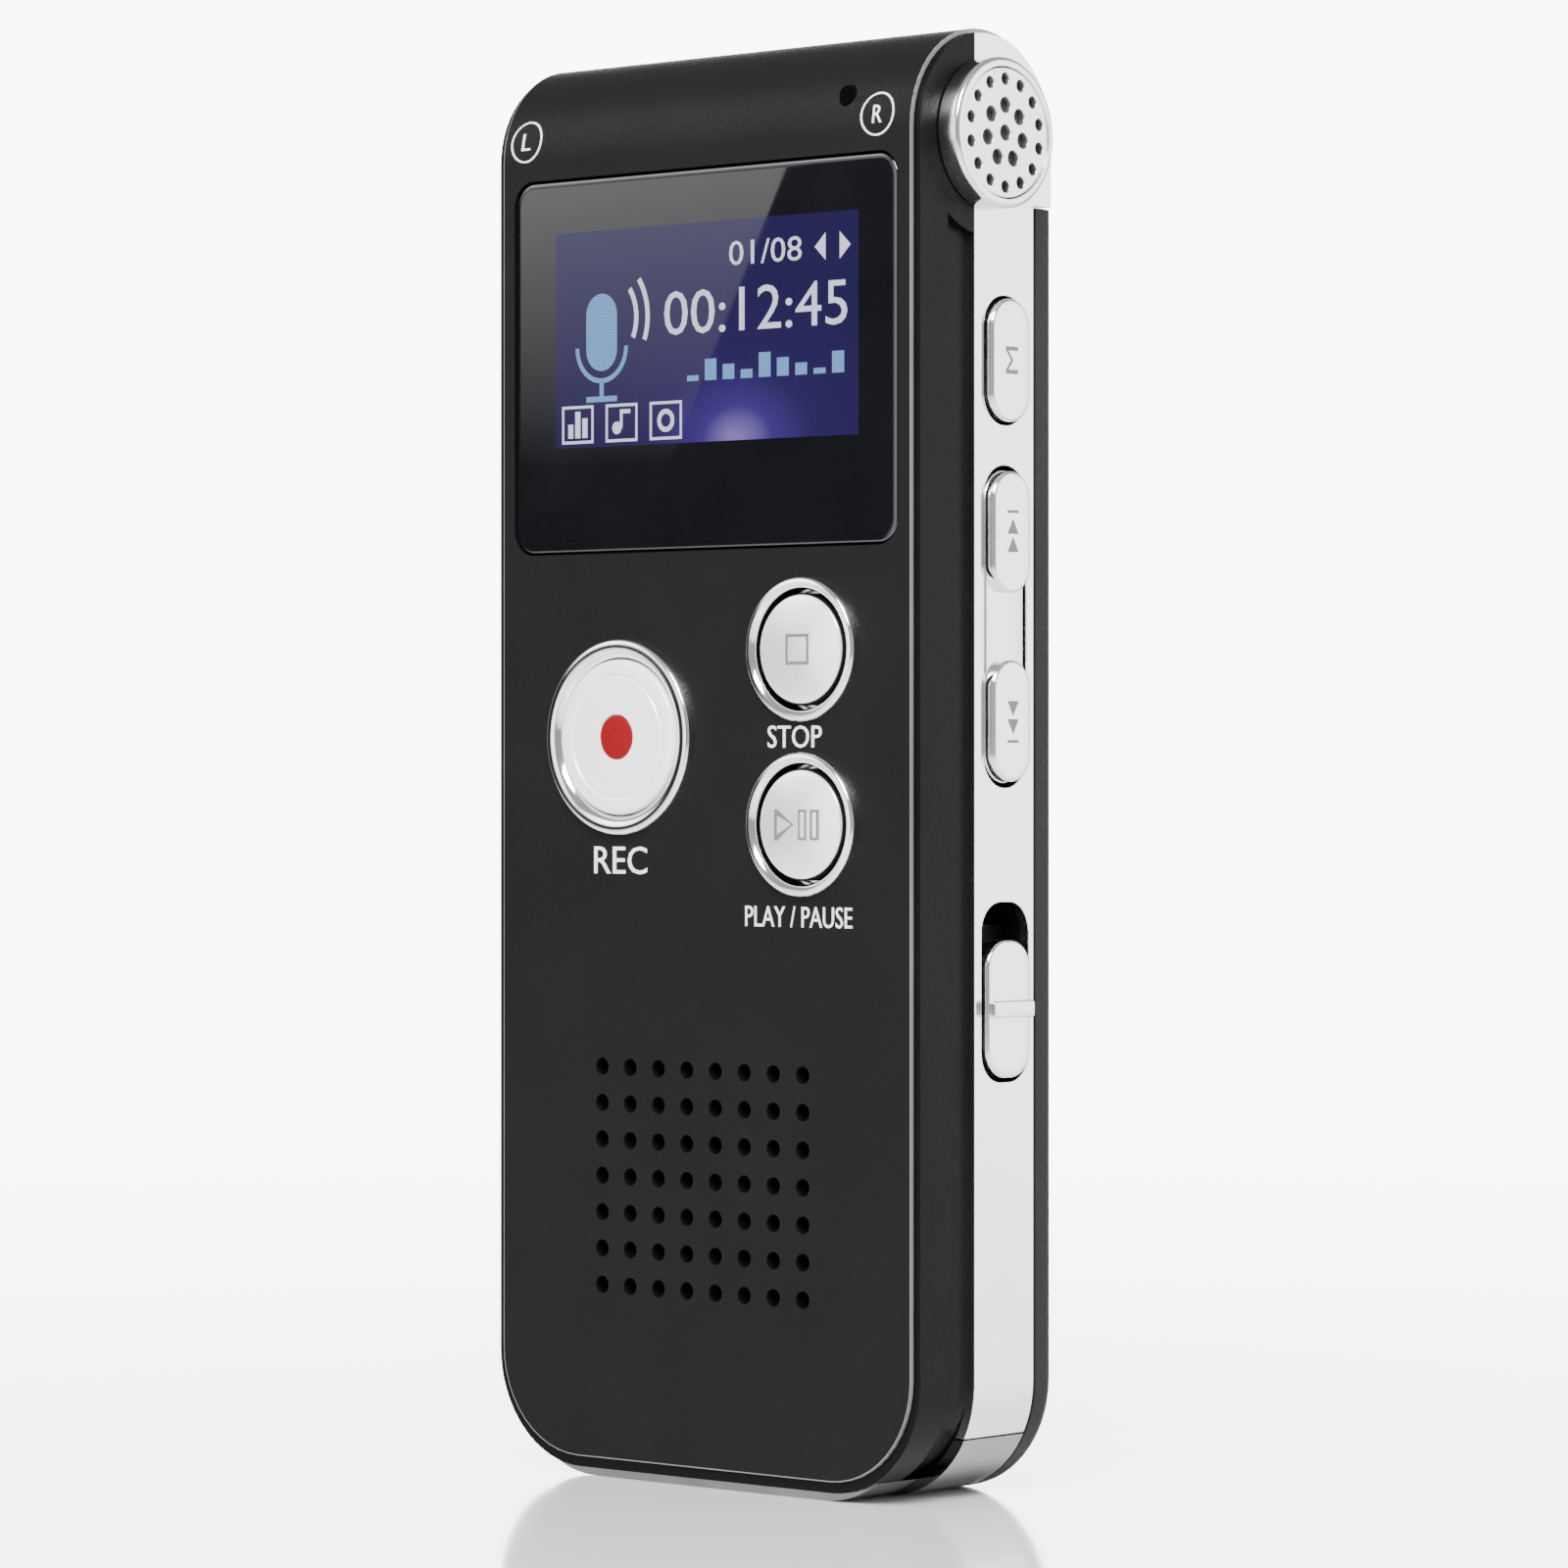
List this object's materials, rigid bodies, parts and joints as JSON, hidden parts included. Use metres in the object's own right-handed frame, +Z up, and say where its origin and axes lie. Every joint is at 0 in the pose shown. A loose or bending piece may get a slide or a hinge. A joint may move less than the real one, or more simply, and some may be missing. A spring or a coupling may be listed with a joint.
{
  "type": "handheld voice recorder",
  "caption": "Pocket voice recorder: black case, chrome side band, glossy display window, three round keys, speaker grid and a stereo microphone at each end of its rolled top.",
  "frame": {"origin": "centre of the case in width, on the axis of its rolled top in depth, at the height of its flat base", "axes": "+X to the right of somebody facing the display, -Y out of the front, +Z up to the microphones"},
  "size_m": [0.0436, 0.0154, 0.1013],
  "materials": {
    "housing": "black ABS with a fine satin texture",
    "plate": "thin plate in fine-grained matte black paint",
    "chrome": "bright plated trim",
    "window": "black-printed glossy acrylic",
    "display": "violet backlit display",
    "key_metal": "satin plated key tops",
    "record_dot": "red enamel",
    "lens": "smoked light pipe",
    "grille": "perforated satin silver disc",
    "screen_cloth": "black acoustic cloth",
    "elastomer": "soft black rubber",
    "steel": "nickel plated steel",
    "board": "green solder mask over glass-epoxy laminate",
    "chip": "moulded epoxy package",
    "cell": "soft foil pouch",
    "insulation": "wire insulation"
  },
  "bodies": {
    "case": {"front_housing": "housing", "front_plate": "plate", "rear_housing": "housing", "mid_frame": "housing", "side_trim_right": "chrome", "side_trim_left": "chrome", "bottom_trim": "chrome", "display_window": "window", "display_frame": "chip", "display_panel": "display", "display_ribbon": "insulation", "rec_bezel": "chrome", "stop_bezel": "chrome", "play_bezel": "chrome", "front_switches": "steel", "right_switches": "steel", "left_switches": "steel", "track_pin": "steel", "volume_pin": "steel", "hold_switch": "steel", "mic_cap_right": "chrome", "mic_cap_left": "chrome", "mic_grille_right": "grille", "mic_grille_left": "grille", "mic_screen_right": "screen_cloth", "mic_screen_left": "screen_cloth", "mic_boot_right": "elastomer", "mic_boot_left": "elastomer", "mic_capsule_right": "steel", "mic_capsule_left": "steel", "mic_wires": "insulation", "speaker_mesh": "screen_cloth", "speaker_gasket": "elastomer", "speaker_basket": "steel", "speaker_cone": "chip", "speaker_magnet": "steel", "main_board": "board", "processor_chip": "chip", "memory_chip": "chip", "clock_crystal": "steel", "battery_cell": "cell", "battery_tape": "elastomer", "battery_plug": "chip", "battery_leads": "insulation", "usb_socket": "steel", "earphone_jack": "chip", "line_jack": "chip", "indicator_lens": "lens", "housing_screws": "steel"},
    "rec_key": {"rec_button": "key_metal", "rec_dot": "record_dot"},
    "stop_key": {"stop_button": "key_metal"},
    "play_key": {"play_button": "key_metal"},
    "menu_key": {"menu_button": "chrome"},
    "ab_key": {"ab_button": "chrome"},
    "track_lever": {"track_rocker": "chrome"},
    "volume_lever": {"volume_rocker": "chrome"},
    "hold_slide": {"hold_slider": "chrome", "hold_carriage": "housing"}
  },
  "joints": [
    {"name": "rec_press", "type": "slide", "parent": "case", "child": "rec_key", "axis": [0, 1, 0], "range_m": [0, 0.0004], "stiffness_N_per_m": 1500},
    {"name": "stop_press", "type": "slide", "parent": "case", "child": "stop_key", "axis": [0, 1, 0], "range_m": [0, 0.0004], "stiffness_N_per_m": 1500},
    {"name": "play_press", "type": "slide", "parent": "case", "child": "play_key", "axis": [0, 1, 0], "range_m": [0, 0.0004], "stiffness_N_per_m": 1500},
    {"name": "menu_press", "type": "slide", "parent": "case", "child": "menu_key", "axis": [-1, 0, 0], "range_m": [0, 0.0003], "stiffness_N_per_m": 1500},
    {"name": "ab_press", "type": "slide", "parent": "case", "child": "ab_key", "axis": [1, 0, 0], "range_m": [0, 0.0003], "stiffness_N_per_m": 1500},
    {"name": "track_tip", "type": "hinge", "parent": "case", "child": "track_lever", "pos_m": [0.0186, 0.002, 0.0602], "axis": [0, 1, 0], "range_deg": [-2.4, 2.4], "stiffness_Nm_per_rad": 0.15},
    {"name": "volume_tip", "type": "hinge", "parent": "case", "child": "volume_lever", "pos_m": [-0.0186, 0.002, 0.04], "axis": [0, 1, 0], "range_deg": [-2.4, 2.4], "stiffness_Nm_per_rad": 0.15},
    {"name": "hold_travel", "type": "slide", "parent": "case", "child": "hold_slide", "axis": [0, 0, 1], "range_m": [0, 0.0023]}
  ]
}
